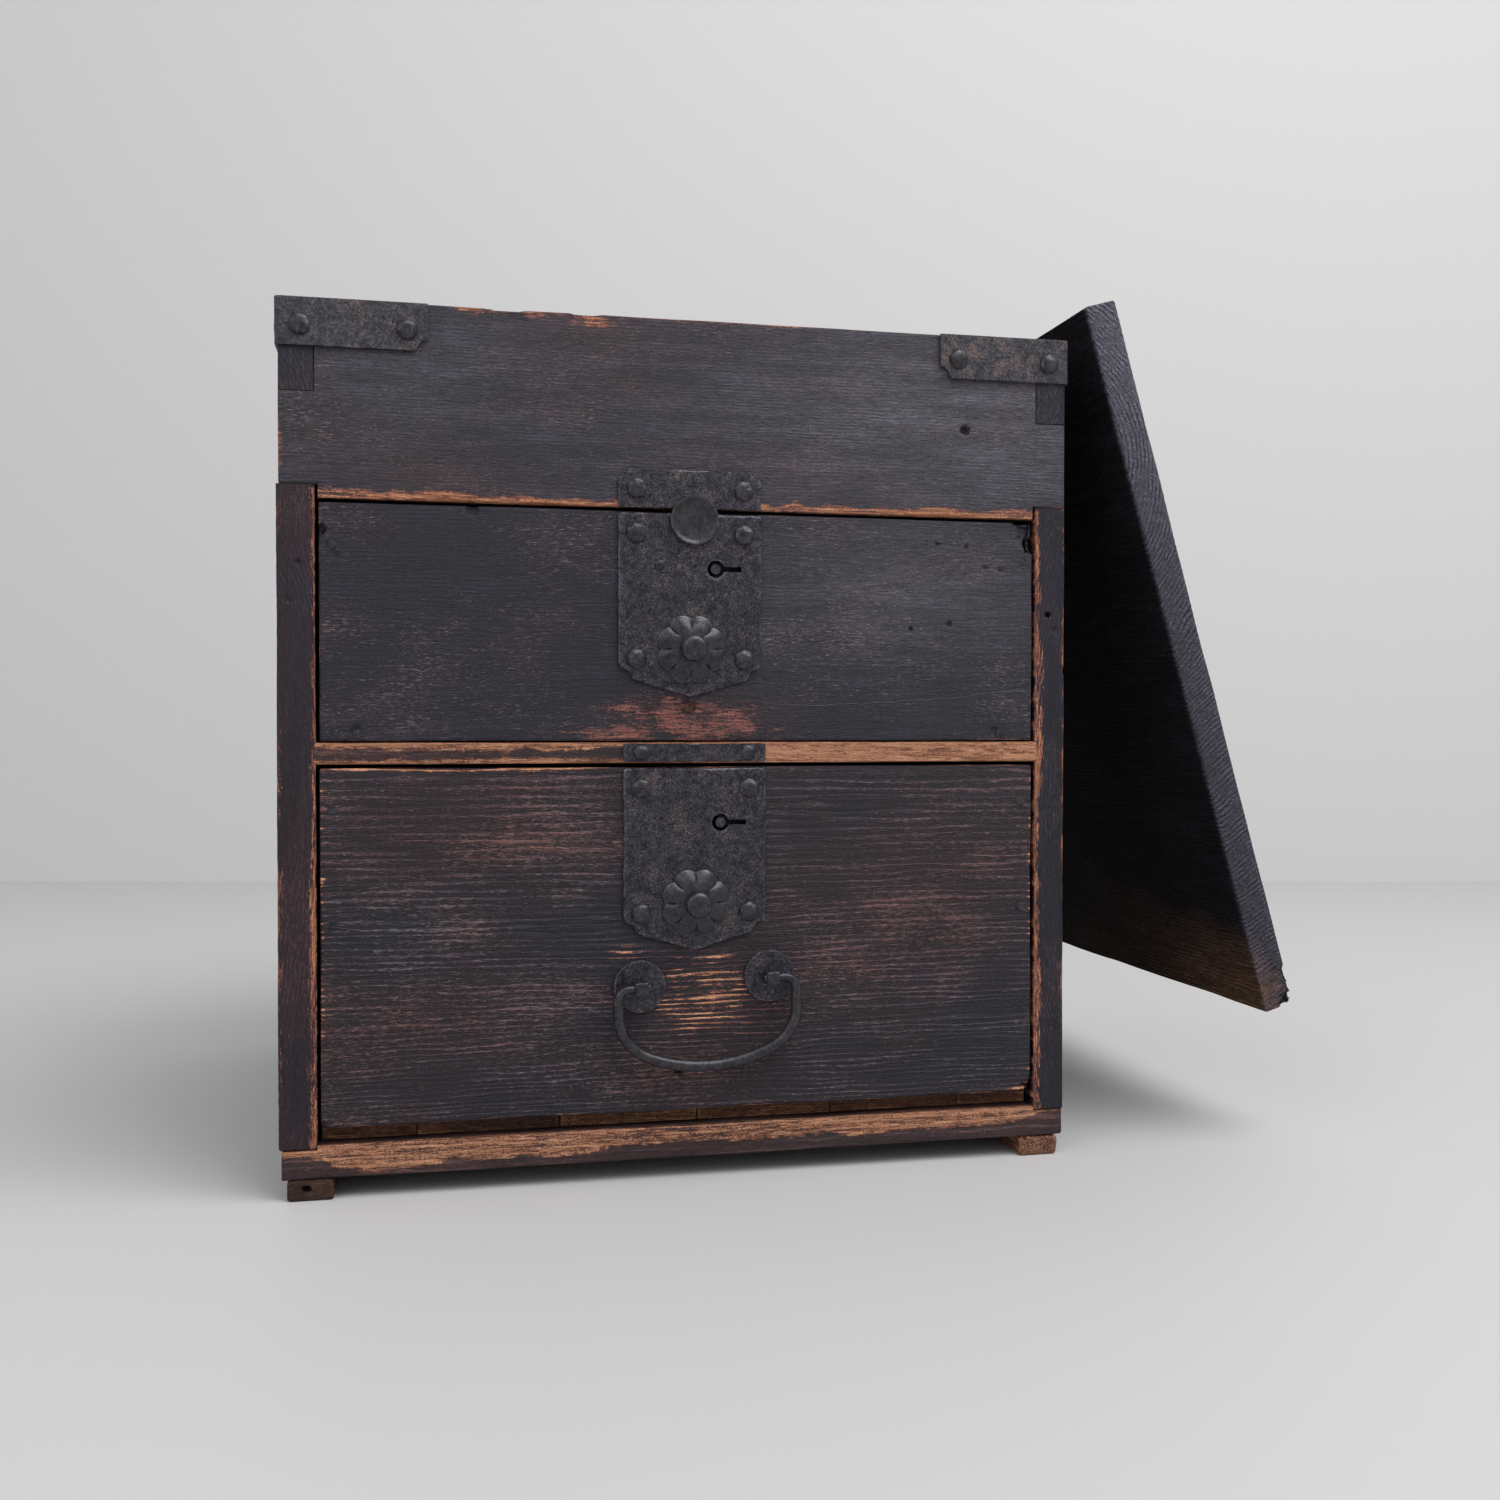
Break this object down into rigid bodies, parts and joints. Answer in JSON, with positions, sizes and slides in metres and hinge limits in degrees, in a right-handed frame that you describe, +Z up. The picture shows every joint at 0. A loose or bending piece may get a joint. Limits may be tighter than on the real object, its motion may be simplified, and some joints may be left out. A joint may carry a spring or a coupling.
{
  "type": "document box",
  "caption": "Blackened wooden document box: an open tray under a side-hinged lid, locking drawers below it, iron corner straps, knobs and a swinging handle.",
  "frame": {"origin": "on the floor, under the middle of the whole box as it stands with its lid hanging open", "axes": "+X to the right along the drawer fronts, towards the lid; +Y from the front to the back; +Z up"},
  "size_m": [0.5402, 0.394, 0.4599],
  "materials": {
    "bare_wood": "old bare wood, oiled by handling",
    "worn_wood": "blackened wood worn back to brown",
    "black_wood": "wood blackened by lacquer, smoke and handling",
    "inner_wood": "unfinished wood, darkened by age",
    "wrought_iron": "forged iron, blackened, with brown rust"
  },
  "bodies": {
    "case": {"foot_left": "bare_wood", "foot_right": "bare_wood", "bottom_board": "worn_wood", "bottom_nails": "wrought_iron", "side_left": "black_wood", "side_right": "black_wood", "side_nails": "wrought_iron", "top_front_board": "black_wood", "top_back_board": "black_wood", "back_board_upper": "worn_wood", "back_board_lower": "worn_wood", "tray_floor": "inner_wood", "drawer_rail": "bare_wood", "runner_left": "inner_wood", "runner_right": "inner_wood", "corner_iron_front_left": "wrought_iron", "corner_iron_front_right": "wrought_iron", "corner_iron_back_left": "wrought_iron", "corner_iron_back_right": "wrought_iron", "corner_iron_nails": "wrought_iron", "upper_keeper": "wrought_iron", "lower_keeper": "wrought_iron", "keeper_nails": "wrought_iron", "hinge_side_leaves": "wrought_iron", "hinge_pins": "wrought_iron", "hinge_side_nails": "wrought_iron"},
    "upper_drawer": {"upper_drawer_front": "black_wood", "upper_drawer_left": "inner_wood", "upper_drawer_right": "inner_wood", "upper_drawer_back": "inner_wood", "upper_drawer_bottom": "inner_wood", "upper_drawer_nails": "wrought_iron", "upper_drawer_peg": "bare_wood", "upper_lock_plate": "wrought_iron", "upper_plate_nails": "wrought_iron", "upper_lock_case": "wrought_iron", "upper_knob_washer": "wrought_iron", "upper_knob": "wrought_iron", "stop_disc": "wrought_iron"},
    "lower_drawer": {"lower_drawer_front": "black_wood", "lower_drawer_left": "inner_wood", "lower_drawer_right": "inner_wood", "lower_drawer_back": "inner_wood", "lower_drawer_bottom": "inner_wood", "lower_drawer_nails": "wrought_iron", "lower_lock_plate": "wrought_iron", "lower_plate_nails": "wrought_iron", "lower_lock_case": "wrought_iron", "lower_knob_washer": "wrought_iron", "lower_knob": "wrought_iron", "handle_rosettes": "wrought_iron", "handle_eyes": "wrought_iron"},
    "upper_bolt": {"upper_bolt": "wrought_iron"},
    "lower_bolt": {"lower_bolt": "wrought_iron"},
    "handle": {"handle_bail": "wrought_iron"},
    "lid": {"lid_board": "black_wood", "hinge_lid_leaves": "wrought_iron", "hinge_lid_nails": "wrought_iron"}
  },
  "joints": [
    {"name": "lid_hinge", "type": "hinge", "parent": "case", "child": "lid", "pos_m": [0.13855, 0.00575, 0.4549], "axis": [0, -1, 0], "range_deg": [0, 254.1]},
    {"name": "upper_drawer_slide", "type": "slide", "parent": "case", "child": "upper_drawer", "axis": [0, -1, 0], "range_m": [0, 0.25]},
    {"name": "lower_drawer_slide", "type": "slide", "parent": "case", "child": "lower_drawer", "axis": [0, -1, 0], "range_m": [0, 0.25]},
    {"name": "upper_bolt_slide", "type": "slide", "parent": "upper_drawer", "child": "upper_bolt", "axis": [0, 0, 1], "range_m": [0, 0.006]},
    {"name": "lower_bolt_slide", "type": "slide", "parent": "lower_drawer", "child": "lower_bolt", "axis": [0, 0, 1], "range_m": [0, 0.006]},
    {"name": "handle_swing", "type": "hinge", "parent": "lower_drawer", "child": "handle", "pos_m": [-0.06055, -0.18915, 0.0994], "axis": [-0.9988, 0, -0.048], "range_deg": [-5, 105]}
  ]
}
